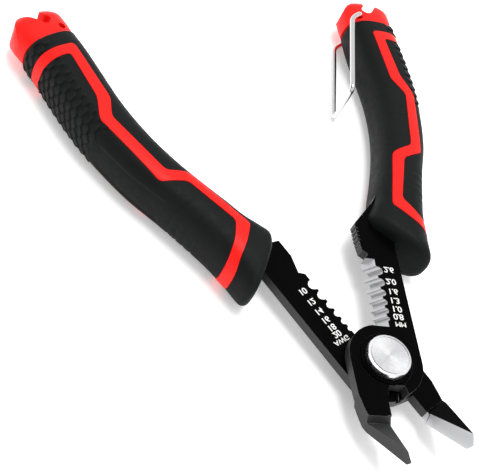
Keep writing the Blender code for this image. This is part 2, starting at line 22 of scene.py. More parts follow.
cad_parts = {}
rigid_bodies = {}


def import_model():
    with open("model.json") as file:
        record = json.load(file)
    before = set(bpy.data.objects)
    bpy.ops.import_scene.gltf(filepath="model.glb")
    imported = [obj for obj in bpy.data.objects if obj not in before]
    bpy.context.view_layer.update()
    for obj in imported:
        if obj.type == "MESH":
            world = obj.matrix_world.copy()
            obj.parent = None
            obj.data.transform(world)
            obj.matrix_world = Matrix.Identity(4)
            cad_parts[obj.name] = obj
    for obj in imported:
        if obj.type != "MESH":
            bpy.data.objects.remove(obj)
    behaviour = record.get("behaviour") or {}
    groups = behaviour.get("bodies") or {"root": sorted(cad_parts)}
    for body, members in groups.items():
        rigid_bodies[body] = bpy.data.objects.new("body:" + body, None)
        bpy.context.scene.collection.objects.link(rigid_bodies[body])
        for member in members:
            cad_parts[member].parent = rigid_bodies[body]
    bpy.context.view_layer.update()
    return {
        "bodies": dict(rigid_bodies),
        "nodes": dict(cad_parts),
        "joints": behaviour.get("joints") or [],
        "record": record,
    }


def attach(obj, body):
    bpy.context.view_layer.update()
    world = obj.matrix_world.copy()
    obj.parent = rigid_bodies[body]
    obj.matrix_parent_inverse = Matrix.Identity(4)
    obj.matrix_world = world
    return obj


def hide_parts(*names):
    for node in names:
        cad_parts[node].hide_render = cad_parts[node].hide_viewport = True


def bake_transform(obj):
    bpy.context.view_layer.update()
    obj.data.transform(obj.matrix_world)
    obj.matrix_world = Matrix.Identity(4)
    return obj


LOG = logging.getLogger("wire_stripper")
MM = 0.001
PIVOT = Vector((-0.565, -57.18, 9.5))    # millimetres, where the axis meets the mating plane
FACE = 0.15                              # a plate's mating face, from the mating plane
BACK = 3.65                              # a plate's outer face, from the mating plane

Point2 = tuple[float, float]
Point3 = tuple[float, float, float]
Colour = tuple[float, float, float]


# ------------------------------------------------------------------ places

@dataclass(frozen=True)
class Handle:
    """Where one lever and its grip lie with the tool open."""

    name: str
    body: str
    side: int
    degrees: float

    def matrix(self) -> Matrix:
        """Return the lever's frame in the tool's frame, with its offset in metres."""
        turn = Matrix.Rotation(math.radians(-self.side * self.degrees), 4, "Z")
        return Matrix.Translation(PIVOT * MM) @ turn

    def place(self, points: np.ndarray) -> np.ndarray:
        """Turn points of this lever's frame into the tool's frame.

        Args:
            points: An array of (n, s, z) rows in millimetres.

        Returns:
            An array of (x, y, z) rows in metres.
        """
        local = np.array(points, float) * (self.side, 1.0, 1.0) * MM
        matrix = np.array(self.matrix())
        return local @ matrix[:3, :3].T + matrix[:3, 3]


FRONT = Handle("front", "front_handle", 1, 16.57)
REAR = Handle("rear", "rear_handle", -1, 16.1)


# ------------------------------------------------------------------ mesh tools

def solid(name: str, vertices: np.ndarray, faces: Iterable[Sequence[int]]) -> bpy.types.Mesh:
    """Return a closed mesh whose faces point out.

    Args:
        name: The mesh's name.
        vertices: Its points in metres.
        faces: Its faces, as runs of point numbers.

    Returns:
        The new mesh.
    """
    mesh = bpy.data.meshes.new(name)
    mesh.from_pydata([tuple(v) for v in vertices], [], [tuple(f) for f in faces])
    work = bmesh.new()
    work.from_mesh(mesh)
    bmesh.ops.recalc_face_normals(work, faces=work.faces)
    work.to_mesh(mesh)
    work.free()
    return mesh


def show(name: str, mesh: bpy.types.Mesh) -> bpy.types.Object:
    """Link a mesh to the scene as an object."""
    item = bpy.data.objects.new(name, mesh)
    bpy.context.scene.collection.objects.link(item)
    return item


def loft(name: str, rings: np.ndarray) -> bpy.types.Mesh:
    """Skin a run of rings that all have the same number of points, and cap both ends.

    Args:
        name: The mesh's name.
        rings: An array of shape (rings, points, 3), in metres.

    Returns:
        The closed mesh.
    """
    rows, count = rings.shape[:2]
    faces = [(r * count + i, r * count + (i + 1) % count,
              (r + 1) * count + (i + 1) % count, (r + 1) * count + i)
             for r in range(rows - 1) for i in range(count)]
    faces.append(tuple(range(count)))
    faces.append(tuple(range((rows - 1) * count, rows * count)))
    return solid(name, rings.reshape(-1, 3), faces)


def prism(name: str, handle: Handle, outline: Sequence[Point2], low: float,
          high: float) -> bpy.types.Mesh:
    """Return an upright solid between two heights.

    Args:
        name: The mesh's name.
        handle: Whose frame the outline is drawn in.
        outline: Its (n, s) points in millimetres.
        low: The height of its lower face.
        high: The height of its upper face.

    Returns:
        The closed mesh.
    """
    base = [(n, s, low) for n, s in outline] + [(n, s, high) for n, s in outline]
    count = len(outline)
    faces = [tuple(range(count)), tuple(range(count, 2 * count))]
    faces += [(i, (i + 1) % count, count + (i + 1) % count, count + i) for i in range(count)]
    return solid(name, handle.place(np.array(base)), faces)


def carve(mesh: bpy.types.Mesh, tool: bpy.types.Mesh, operation: str) -> bpy.types.Mesh:
    """Return what is left of a mesh after an exact Boolean with a tool mesh.

    Args:
        mesh: The mesh to change.
        tool: The mesh that changes it.
        operation: INTERSECT, DIFFERENCE or UNION.

    Returns:
        The new mesh.
    """
    item, cutter = show("work", mesh), show("tool", tool)
    step = item.modifiers.new("carve", "BOOLEAN")
    step.operation, step.object, step.solver = operation, cutter, "EXACT"
    return settled(item, [cutter])


def settled(item: bpy.types.Object, others: Sequence[bpy.types.Object] = ()) -> bpy.types.Mesh:
    """Apply an object's modifiers, then remove the object and its tools.

    Args:
        item: The object.
        others: The tools that its modifiers use.

    Returns:
        The finished mesh.
    """
    graph = bpy.context.evaluated_depsgraph_get()
    mesh = bpy.data.meshes.new_from_object(item.evaluated_get(graph))
    for old in (item, *others):
        bpy.data.objects.remove(old, do_unlink=True)
    return mesh


def softened(mesh: bpy.types.Mesh, width: float, segments: int = 2, angle: float = 32.0,
             slot: int = -1) -> bpy.types.Mesh:
    """Return a mesh with its corners rounded.

    Args:
        mesh: The mesh to change.
        width: How far back from the corner the rounding starts, in millimetres.
        segments: How many faces each rounding takes.
        angle: The least angle, in degrees, that counts as a corner.
        slot: The material number of the rounding, or -1 to keep its neighbours'.

    Returns:
        The new mesh.
    """
    item = show("work", mesh)
    step = item.modifiers.new("soften", "BEVEL")
    step.width, step.segments, step.limit_method = width * MM, segments, "ANGLE"
    step.angle_limit = math.radians(angle)
    step.material = slot
    return settled(item)


def smooth(mesh: bpy.types.Mesh, angle: float = 32.0) -> None:
    """Shade a mesh smooth but for its real corners."""
    mesh.shade_smooth()
    mesh.set_sharp_from_angle(angle=math.radians(angle))


def rounded(points: Sequence[Point2], passes: int = 2) -> list[Point2]:
    """Cut the corners of an open line of points, and keep its two ends.

    Args:
        points: The line.
        passes: How many times each corner is cut.

    Returns:
        The smoother line.
    """
    line = [tuple(p) for p in points]
    for _ in range(passes):
        cut = [line[0]]
        for (ax, ay), (bx, by) in zip(line, line[1:]):
            cut += [(ax * 0.75 + bx * 0.25, ay * 0.75 + by * 0.25),
                    (ax * 0.25 + bx * 0.75, ay * 0.25 + by * 0.75)]
        line = [*cut, line[-1]]
    return line


def eased(points: Sequence[Point2], reach: float) -> list[Point2]:
    """Round each corner of an open line of points.

    Args:
        points: The line.
        reach: How far before a corner its rounding may start.

    Returns:
        The line with its corners rounded.
    """
    line = [Vector(p) for p in points]
    made = [points[0]]
    for before, corner, after in zip(line, line[1:], line[2:]):
        ends = [corner + (other - corner).normalized() * min(reach, (other - corner).length * 0.45)
                for other in (before, after)]
        made += [tuple(ends[0] * (1 - t) ** 2 + corner * 2 * t * (1 - t) + ends[1] * t ** 2)
                 for t in (0.0, 0.25, 0.5, 0.75, 1.0)]
    return [*made, points[-1]]


def shifted(points: Sequence[Point2], distance: float) -> list[Point2]:
    """Shift an open line of points sideways.

    Args:
        points: The line.
        distance: How far it moves to its left.

    Returns:
        The shifted line.
    """
    line = [Vector(p) for p in points]
    moved = []
    for i, point in enumerate(line):
        ways = [(line[j + 1] - line[j]).normalized() for j in (i - 1, i) if 0 <= j < len(line) - 1]
        normals = [Vector((-w.y, w.x)) for w in ways]
        middle = sum(normals, Vector((0.0, 0.0))).normalized()
        moved.append(tuple(point + middle * distance / middle.dot(normals[0])))
    return moved


def smoothstep(low: float, high: float, value: np.ndarray) -> np.ndarray:
    """Rise smoothly from 0 at low to 1 at high."""
    t = np.clip((value - low) / (high - low), 0.0, 1.0)
    return t * t * (3.0 - 2.0 * t)


# ------------------------------------------------------------------ shader tools

class Graph:
    """A node tree with short ways to add to it."""

    def __init__(self, tree: bpy.types.NodeTree) -> None:
        """Wrap a tree.

        Args:
            tree: The tree that nodes are added to.
        """
        self.tree = tree

    def wire(self, value: object, socket: bpy.types.NodeSocket) -> None:
        """Link a socket to an input, or set the input's own value.

        Args:
            value: A socket, or a number or colour.
            socket: The input.
        """
        if isinstance(value, bpy.types.NodeSocket):
            self.tree.links.new(value, socket)
        else:
            socket.default_value = value

    def add(self, kind: str, inputs: dict | None = None, **settings: object) -> bpy.types.Node:
        """Add a node.

        Args:
            kind: The node's type, without its ShaderNode prefix.
            inputs: Values or sockets for its inputs, by name or number.
            settings: The node's own properties.

        Returns:
            The new node.
        """
        node = self.tree.nodes.new(f"ShaderNode{kind}")
        for key, value in settings.items():
            setattr(node, key, value)
        for key, value in (inputs or {}).items():
            self.wire(value, node.inputs[key])
        return node

    def math(self, operation: str, first: object, second: object = 0.0, clamp: bool = False) -> object:
        """Return the result of a Math node."""
        return self.add("Math", {0: first, 1: second}, operation=operation, use_clamp=clamp).outputs[0]

    def span(self, value: object, low: float, high: float, to_low: float, to_high: float) -> object:
        """Return a value moved from one range to another, and held inside it."""
        return self.add("MapRange", {0: value, 1: low, 2: high, 3: to_low, 4: to_high}).outputs[0]

    def noise(self, vector: object, scale: object, detail: float = 3.0, rough: float = 0.5) -> object:
        """Return a noise value at a scale in cycles a millimetre."""
        return self.add("TexNoise", {"Vector": vector, "Scale": scale, "Detail": detail,
                                     "Roughness": rough}).outputs["Fac"]

    def blend(self, factor: object, first: object, second: object, kind: str = "MIX") -> object:
        """Return a mix of two colours."""
        return self.add("Mix", {0: factor, 6: first, 7: second}, data_type="RGBA",
                        blend_type=kind).outputs[2]

    def millimetres(self) -> object:
        """Return the place on the piece in millimetres."""
        place = self.add("TexCoord").outputs["Object"]
        return self.add("VectorMath", {0: place, "Scale": 1.0 / MM}, operation="SCALE").outputs[0]


class Effect(Enum):
    """The shader groups that finishes share."""

    MOTTLE = "mottle"
    GRAIN = "moulded grain"
    WEAR_AND_CREASE_SHADE = "edge wear and painted crease shade"
    BRUSH = "brush marks"


def new_group(effect: Effect, inputs: dict[str, object],
              outputs: dict[str, str]) -> tuple[Graph, dict, object]:
    """Start a shader group.

    Args:
        effect: Which group it is.
        inputs: Its inputs' names and first values; None stands for a vector.
        outputs: Its outputs' names and kinds, Float or Vector.

    Returns:
        The group's graph, its input sockets by name, and its output node.
    """
    tree = bpy.data.node_groups.new(effect.value, "ShaderNodeTree")
    for name, value in inputs.items():
        kind = "Vector" if value is None else "Float"
        made = tree.interface.new_socket(name=name, in_out="INPUT", socket_type=f"NodeSocket{kind}")
        if value is not None:
            made.default_value = value
    for name, kind in outputs.items():
        tree.interface.new_socket(name=name, in_out="OUTPUT", socket_type=f"NodeSocket{kind}")
    start, end = tree.nodes.new("NodeGroupInput"), tree.nodes.new("NodeGroupOutput")
    return Graph(tree), {name: start.outputs[name] for name in inputs}, end


def mottle_group() -> bpy.types.NodeTree:
    """Make the broad, uneven tone that handling and moulding leave.

    Returns:
        The group.
    """
    graph, given, end = new_group(Effect.MOTTLE, {"Place": None, "Size": 6.0, "Contrast": 0.5},
                                  {"Tone": "Float", "Fine": "Float"})
    scale = graph.math("DIVIDE", 1.0, given["Size"])
    broad = graph.noise(given["Place"], scale, 2.0, 0.55)
    fine = graph.noise(given["Place"], graph.math("MULTIPLY", scale, 7.0), 4.0, 0.6)
    both = graph.math("ADD", graph.math("MULTIPLY", broad, 0.7), graph.math("MULTIPLY", fine, 0.3))
    spread = graph.math("MULTIPLY", graph.math("SUBTRACT", both, 0.5), given["Contrast"])
    graph.wire(graph.math("ADD", graph.math("MULTIPLY", spread, 2.0), 0.5, True), end.inputs["Tone"])
    graph.wire(fine, end.inputs["Fine"])
    return graph.tree


def grain_group() -> bpy.types.NodeTree:
    """Make the pebbled grain of a moulded surface.

    Returns:
        The group.
    """
    graph, given, end = new_group(Effect.GRAIN, {"Place": None, "Size": 0.4, "Pores": 0.3},
                                  {"Height": "Float"})
    scale = graph.math("DIVIDE", 1.0, given["Size"])
    cells = graph.add("TexVoronoi", {"Vector": given["Place"], "Scale": scale}, feature="SMOOTH_F1")
    dust = graph.noise(given["Place"], graph.math("MULTIPLY", scale, 3.0), 2.0, 0.6)
    pits = graph.math("MULTIPLY", graph.span(dust, 0.55, 0.75, 0.0, 1.0), given["Pores"])
    graph.wire(graph.math("SUBTRACT", cells.outputs["Distance"], pits), end.inputs["Height"])
    return graph.tree


def wear_and_crease_shade_group() -> bpy.types.NodeTree:
    """Make a mask of the rubbed corners, broken up by noise, and a mask of the hollows for painted
    shade.

    Returns:
        The group.
    """
    graph, given, end = new_group(Effect.WEAR_AND_CREASE_SHADE, {"Place": None, "Amount": 0.5, "Size": 1.5},
                                  {"Mask": "Float", "Painted Crease Shade": "Float"})
    bend = graph.add("NewGeometry").outputs["Pointiness"]
    corner = graph.span(bend, 0.51, 0.58, 0.0, 1.0)
    # Painted shade: places that bend inwards get a mask that darkens them towards a shade colour.
    graph.wire(graph.span(bend, 0.43, 0.492, 1.0, 0.0), end.inputs["Painted Crease Shade"])
    broken = graph.noise(given["Place"], graph.math("DIVIDE", 1.0, given["Size"]), 4.0, 0.65)
    worn = graph.math("MULTIPLY", corner, graph.span(broken, 0.3, 0.65, 0.15, 1.0))
    graph.wire(graph.math("MULTIPLY", worn, given["Amount"], True), end.inputs["Mask"])
    return graph.tree


def brush_group() -> bpy.types.NodeTree:
    """Make the fine parallel scratches of brushing or grinding.

    Returns:
        The group.
    """
    graph, given, end = new_group(Effect.BRUSH, {"Place": None, "Across": 6.0, "Along": 0.25},
                                  {"Height": "Float", "Streak": "Float"})
    stretch = graph.add("CombineXYZ", {0: given["Across"], 1: given["Along"], 2: given["Across"]})
    drawn = graph.add("VectorMath", {0: given["Place"], 1: stretch.outputs[0]}, operation="MULTIPLY")
    coarse = graph.noise(drawn.outputs[0], 1.0, 3.0, 0.6)
    fine = graph.noise(drawn.outputs[0], 4.0, 2.0, 0.5)
    graph.wire(graph.math("ADD", coarse, graph.math("MULTIPLY", fine, 0.4)), end.inputs["Height"])
    graph.wire(graph.span(coarse, 0.3, 0.7, 0.0, 1.0), end.inputs["Streak"])
    return graph.tree


class Workshop:
    """Keeps the shader groups and makes each finish once."""

    def __init__(self) -> None:
        """Build every shared group."""
        self.groups = {Effect.MOTTLE: mottle_group(), Effect.GRAIN: grain_group(),
                       Effect.WEAR_AND_CREASE_SHADE: wear_and_crease_shade_group(), Effect.BRUSH: brush_group()}
        self.made: dict[str, bpy.types.Material] = {}

    def use(self, graph: Graph, effect: Effect, **inputs: object) -> bpy.types.Node:
        """Place a shared group in a material.

        Args:
            graph: The material's graph.
            effect: Which group it is.
            inputs: The group's values here, by name.

        Returns:
            The group's node.
        """
        node = graph.tree.nodes.new("ShaderNodeGroup")
        node.node_tree = self.groups[effect]
        for name, value in inputs.items():
            graph.wire(value, node.inputs[name])
        return node

    def material(self, finish: "Finish") -> bpy.types.Material:
        """Make a finish's material, or find it if it is made.

        Args:
            finish: The finish.

        Returns:
            Its material.
        """
        if finish.name not in self.made:
            self.made[finish.name] = finish.build(self)
        return self.made[finish.name]


@dataclass(frozen=True)
class Finish:
    """What every finish has: its colours, its gloss and how they vary over the surface."""

    name: str
    colour: Colour
    second: Colour
    roughness: float
    spread: float = 0.08
    metallic: float = 0.0
    specular: float = 0.5
    coat: float = 0.0
    mottle_size: float = 6.0
    contrast: float = 0.5
    wear: float = 0.0
    worn: Colour = (0.5, 0.5, 0.5)
    # The colour of the painted shade laid into hollows and creases.
    painted_crease_shade: Colour = (0.001, 0.001, 0.001)
    bump: float = 0.01
    glow: float = 0.0

    def build(self, shop: Workshop) -> bpy.types.Material:
        """Make the material.

        Args:
            shop: Where the shared groups are kept.

        Returns:
            The new material.
        """
        material = bpy.data.materials.new(self.name)
        material.use_nodes = True
        graph = Graph(material.node_tree)
        shader = material.node_tree.nodes["Principled BSDF"]
        place = graph.millimetres()
        mottle = shop.use(graph, Effect.MOTTLE, Place=place, Size=self.mottle_size,
                          Contrast=self.contrast)
        tone = mottle.outputs["Tone"]
        colour = graph.blend(tone, (*self.colour, 1.0), (*self.second, 1.0))
        rough = graph.span(mottle.outputs["Fine"], 0.3, 0.7, self.roughness - self.spread,
                           self.roughness + self.spread)
        # Edge wear, and with it painted shade in the hollows.
        if self.wear > 0.0:
            worn = shop.use(graph, Effect.WEAR_AND_CREASE_SHADE, Place=place, Amount=self.wear)
            mask, painted_shade_mask = worn.outputs["Mask"], worn.outputs["Painted Crease Shade"]
            colour = graph.blend(mask, colour, (*self.worn, 1.0))
            # Painted shade: hollows, seams and the scales' crescents darken towards the shade colour.
            colour = graph.blend(painted_shade_mask, colour, (*self.painted_crease_shade, 1.0))
            rough = graph.math("SUBTRACT", rough, graph.math("MULTIPLY", mask, 0.12), True)
        colour, height = self.surface(shop, graph, place, colour)
        graph.wire(colour, shader.inputs["Base Color"])
        graph.wire(rough, shader.inputs["Roughness"])
        shader.inputs["Metallic"].default_value = self.metallic
        shader.inputs["Specular IOR Level"].default_value = self.specular
        shader.inputs["Coat Weight"].default_value = self.coat
        shader.inputs["Coat Roughness"].default_value = 0.12
        shader.inputs["Emission Strength"].default_value = self.glow
        if height is not None:
            lift = graph.add("Bump", {"Height": height, "Distance": self.bump * MM, "Strength": 1.0})
            graph.wire(lift.outputs["Normal"], shader.inputs["Normal"])
        return material

    def surface(self, shop: Workshop, graph: Graph, place: object,
                colour: object) -> tuple[object, object]:
        """Return the colour and the relief height that this kind of finish adds."""
        return colour, None


@dataclass(frozen=True)
class Moulded(Finish):
    """Plastic or rubber that takes the mould's grain."""

    grain: float = 0.45
    pores: float = 0.3

    def surface(self, shop: Workshop, graph: Graph, place: object,
                colour: object) -> tuple[object, object]:
        """Return the colour and the grain's height."""
        node = shop.use(graph, Effect.GRAIN, Place=place, Size=self.grain, Pores=self.pores)
        return colour, node.outputs["Height"]


@dataclass(frozen=True)
class Brushed(Finish):
    """Metal with fine scratches along the tool."""

    across: float = 6.0
    along: float = 0.25
    streaks: float = 0.3
    streak_colour: Colour = (0.9, 0.9, 0.9)

    def surface(self, shop: Workshop, graph: Graph, place: object,
                colour: object) -> tuple[object, object]:
        """Add the streaks and the scratches.

        Args:
            shop: Where the shared groups are kept.
            graph: The material's graph.
            place: The place on the piece in millimetres.
            colour: The colour so far.

        Returns:
            The new colour, and the height for the bump.
        """
        node = shop.use(graph, Effect.BRUSH, Place=place, Across=self.across, Along=self.along)
        factor = graph.math("MULTIPLY", node.outputs["Streak"], self.streaks)
        return graph.blend(factor, colour, (*self.streak_colour, 1.0)), node.outputs["Height"]


@dataclass(frozen=True)
class Turned(Finish):
    """Metal faced on a lathe: rings about the pivot, and a painted reflection of darker rays that stands
    in for the turned face's sheen.
    """

    rings: float = 9.0
    painted_rays: float = 0.25
    painted_ray_colour: Colour = (0.45, 0.45, 0.46)

    def surface(self, shop: Workshop, graph: Graph, place: object,
                colour: object) -> tuple[object, object]:
        """Add the painted reflection rays and the rings.

        Args:
            shop: Where the shared groups are kept.
            graph: The material's graph.
            place: The place on the piece in millimetres.
            colour: The colour so far.

        Returns:
            The new colour, and the height for the bump.
        """
        centred = graph.add("VectorMath", {0: place, 1: tuple(PIVOT)}, operation="SUBTRACT")
        parts = graph.add("SeparateXYZ", {0: centred.outputs[0]})
        turn = graph.math("ARCTAN2", parts.outputs[1], parts.outputs[0])
        flat = graph.add("CombineXYZ", {0: parts.outputs[0], 1: parts.outputs[1]})
        radius = graph.add("VectorMath", {0: flat.outputs[0]}, operation="LENGTH").outputs["Value"]
        # Painted reflection: two opposing darker wedges about the pivot, laid into the colour.
        painted_sheen_fan = graph.math("SINE", graph.math("ADD", graph.math("MULTIPLY", turn, 2.0), 0.9))
        painted_sheen_spokes = graph.add("CombineXYZ", {0: graph.math("MULTIPLY", painted_sheen_fan, 3.0)})
        fine = graph.noise(painted_sheen_spokes.outputs[0], 2.0)
        both = graph.math("ADD", graph.math("MULTIPLY", painted_sheen_fan, 0.5), graph.math("MULTIPLY", fine, 0.8))
        painted_rays = graph.span(both, -0.2, 1.0, 0.0, self.painted_rays)
        grooves = graph.noise(graph.add("CombineXYZ", {0: radius}).outputs[0], self.rings, 3.0, 0.6)
        return graph.blend(painted_rays, colour, (*self.painted_ray_colour, 1.0)), grooves


BLACK_OXIDE = Moulded("black_oxide", (0.0005, 0.0005, 0.0006), (0.0015, 0.0015, 0.0016), 0.3, 0.05,
                      0.0, 0.02, mottle_size=9.0, bump=0.001, grain=0.35)
SIDE_STEEL = Brushed("brushed_side_walls", (0.022, 0.022, 0.023), (0.04, 0.04, 0.041), 0.44, 0.06,
                     0.3, 0.25, mottle_size=8.0, bump=0.006, streaks=0.22,
                     streak_colour=(0.085, 0.085, 0.088))
# Lever corners: part wear to bare steel and part painted highlight, made brighter so that the bevelled
# edges read as light lines.
WORN_CORNER_HIGHLIGHT = Brushed("worn_corners_painted_highlight", (0.1, 0.1, 0.102), (0.4, 0.4, 0.41), 0.36, 0.06, 0.85, 0.4,
                        mottle_size=5.0, contrast=0.9, bump=0.003, streaks=0.3,
                        streak_colour=(0.2, 0.2, 0.205))
GROUND_STEEL = Brushed("ground_steel", (0.60, 0.60, 0.61), (0.68, 0.68, 0.69), 0.3, 0.03, 1.0, 0.5,
                       mottle_size=9.0, contrast=0.3, bump=0.0005, across=0.5, along=4.0, streaks=0.08,
                       streak_colour=(0.58, 0.58, 0.59))
# The pivot disc's colour carries painted reflection rays.
DISC_STEEL = Turned("turned_disc", (0.90, 0.90, 0.91), (0.83, 0.83, 0.84), 0.27, 0.04, 1.0, 0.5,
                    mottle_size=8.0, bump=0.0008, contrast=0.2, rings=3.0, painted_rays=0.6)
PLAIN_STEEL = Brushed("plain_steel", (0.42, 0.42, 0.43), (0.55, 0.55, 0.56), 0.33, 0.06, 1.0, 0.5,
                      mottle_size=3.0, bump=0.003)
SPRING_STEEL = Brushed("spring_wire", (0.06, 0.06, 0.062), (0.12, 0.12, 0.122), 0.3, 0.05, 1.0, 0.5,
                       mottle_size=2.0, bump=0.003, across=5.0, along=5.0)
CHROME = Brushed("chromed_wire", (0.6, 0.6, 0.61), (0.68, 0.68, 0.69), 0.11, 0.03, 1.0, 0.5,
                 mottle_size=5.0, bump=0.0015, across=3.0, along=0.4, streaks=0.12)
# Red plastic: lighter worn corners, and painted shade in dark red in its hollows.
RED_PLASTIC = Moulded("red_plastic", (0.92, 0.012, 0.009), (0.82, 0.010, 0.007), 0.4, 0.05, 0.0, 0.14,
                      mottle_size=12.0, contrast=0.4, wear=0.2, worn=(0.9, 0.05, 0.04),
                      painted_crease_shade=(0.3, 0.003, 0.003), bump=0.005, grain=0.6, pores=0.2)
# Black rubber: lighter worn corners, and painted shade in the scales' hollows in the default near-black.
BLACK_RUBBER = Moulded("black_rubber", (0.0035, 0.0039, 0.0039), (0.007, 0.0076, 0.0076), 0.56, 0.08,
                       0.0, 0.1, mottle_size=14.0, wear=0.4, worn=(0.03, 0.031, 0.031), bump=0.018,
                       grain=0.42, pores=0.5)
GAUGE_PAINT = Moulded("white_gauge_paint", (0.82, 0.82, 0.8), (0.68, 0.68, 0.67), 0.5, 0.06, 0.0, 0.4,
                      mottle_size=0.7, contrast=0.8, bump=0.004, grain=0.2)
FLOOR_PAPER = Moulded("pale_paper", (0.93, 0.93, 0.93), (0.95, 0.95, 0.95), 0.85, 0.03, 0.0, 0.1,
                      mottle_size=60.0, contrast=0.2, bump=0.004, grain=0.5, glow=0.28)


class Piece:
    """What every sub-assembly shares: dressing a piece and naming what it stands for."""

    shop: Workshop

    def finish(self, item: bpy.types.Object, *finishes: Finish) -> None:
        """Give an object its finishes.

        Args:
            item: The object.
            finishes: Its finishes, in the order of its material numbers.
        """
        slots = item.data.materials
        for number, each in enumerate(finishes):
            if number < len(slots):
                slots[number] = self.shop.material(each)
            else:
                slots.append(self.shop.material(each))

    def attach(self, item: bpy.types.Object, body: str, slot: str, *nodes: str) -> bpy.types.Object:
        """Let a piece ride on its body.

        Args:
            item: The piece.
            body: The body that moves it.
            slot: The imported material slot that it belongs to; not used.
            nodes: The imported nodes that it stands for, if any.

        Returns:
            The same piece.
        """
        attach(item, body)
        if nodes:
            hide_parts(*nodes)
        LOG.info("%s rides on %s", item.name, body)
        return item


# ------------------------------------------------------------------ levers

class LeverFace(IntEnum):
    """A lever's kinds of face, as the numbers of its materials."""

    PLATE = 0
    WALL = 1
    GROUND = 2
    CORNER = 3


@dataclass
class Lever(Piece):
    """A steel lever: black faces, brushed walls, ground bevels, and its gauge numerals."""

    shop: Workshop
    frame: dict
    handle: Handle
    marks: tuple[tuple[str, float, float], ...]
    bevel_span: Point2 = (11.8, 37.9)
    bevel_reach: float = 3.9
    jaw_start: float = -19.3
    tip_start: float = -35.3
    corner: float = 0.2
    corner_angle: float = 28.0
    weld: float = 0.002
    mark_size: float = 3.0
    mark_width: float = 1.1
    mark_weight: float = 0.045
    mark_spacing: float = 0.92
    mark_depth: float = 0.012
    mark_lift: float = 0.018
    word_size: float = 0.8

    @property
    def finishes(self) -> tuple[Finish, ...]:
        """Return the lever's finishes, in the order of LeverFace."""
        return BLACK_OXIDE, SIDE_STEEL, GROUND_STEEL, WORN_CORNER_HIGHLIGHT

    def build(self) -> None:
        """Make the lever and its numerals."""
        mesh = self.clean_copy()
        self.sort_faces(mesh)
        # The rounded corners take the worn-edge colour with its painted highlight.
        mesh = softened(mesh, self.corner, 2, self.corner_angle, LeverFace.CORNER)
        for face in mesh.polygons:
            face.use_smooth = face.material_index == LeverFace.CORNER
        item = show(f"{self.handle.name}_lever_steel", mesh)
        self.finish(item, *self.finishes)
        self.attach(item, self.handle.body, "blackened_steel", f"{self.handle.name}_lever")
        self.numerals()

    def clean_copy(self) -> bpy.types.Mesh:
        """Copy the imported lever's shape, with whole faces in place of triangles.

        Returns:
            The new mesh.
        """
        work = bmesh.new()
        work.from_mesh(self.frame["nodes"][f"{self.handle.name}_lever"].data)
        bmesh.ops.remove_doubles(work, verts=work.verts, dist=self.weld * MM)
        bmesh.ops.dissolve_limit(work, angle_limit=math.radians(1.0), verts=work.verts, edges=work.edges)
        mesh = bpy.data.meshes.new(f"{self.handle.name}_lever_steel")
        work.to_mesh(mesh)
        work.free()
        return mesh

    def sort_faces(self, mesh: bpy.types.Mesh) -> None:
        """Number each face by its kind.

        Args:
            mesh: The lever's mesh, which is changed.
        """
        while len(mesh.materials) < len(self.finishes):
            mesh.materials.append(None)
        back = self.handle.matrix().inverted()
        low, high = self.bevel_span
        for face in mesh.polygons:
            centre = back @ face.center
            normal = back.to_3x3() @ face.normal
            n, s = self.handle.side * centre.x / MM, centre.y / MM
            out, up = self.handle.side * normal.x, normal.z
            wall = abs(up) < 0.55
            bare_jaw = self.handle.side > 0 and s < self.jaw_start - 1.2
            bevelled = low < s < high and n < self.bevel_reach and abs(up) < 0.97
            closing = s < self.jaw_start and out > 0.5
            kind = LeverFace.WALL if wall or bare_jaw else LeverFace.PLATE
            if bevelled or closing or s < self.tip_start:
                kind = LeverFace.GROUND
            face.material_index = kind

    def numerals(self) -> None:
        """Print the gauge sizes beside the notches, as one raised piece of paint."""
        top = BACK if self.handle.side > 0 else -FACE
        made = []
        for words, n, s in self.marks:
            curve = bpy.data.curves.new(words, "FONT")
            curve.body, curve.size, curve.offset = words, self.mark_size * MM, self.mark_weight * MM
            curve.extrude, curve.align_x, curve.align_y = self.mark_depth * MM, "CENTER", "CENTER"
            curve.space_character = self.mark_spacing
            mesh = settled(show(words, curve))
            shrink = self.word_size if words.isalpha() else 1.0
            narrow = Matrix.Diagonal((self.mark_width * shrink, -shrink, 1.0, 1.0))
            spot = Matrix.Translation(Vector((self.handle.side * n, s, top + self.mark_lift)) * MM)
            mesh.transform(self.handle.matrix() @ spot @ narrow)
            mesh.flip_normals()
            made.append(show(f"{self.handle.name}_mark", mesh))
        work = bmesh.new()
        for each in made:
            work.from_mesh(each.data)
            bpy.data.objects.remove(each, do_unlink=True)
        mesh = bpy.data.meshes.new(f"{self.handle.name}_gauge_marks")
        work.to_mesh(mesh)
        work.free()
        item = show(mesh.name, mesh)
        self.finish(item, GAUGE_PAINT)
        self.attach(item, self.handle.body, "blackened_steel")


# ------------------------------------------------------------------ pivot

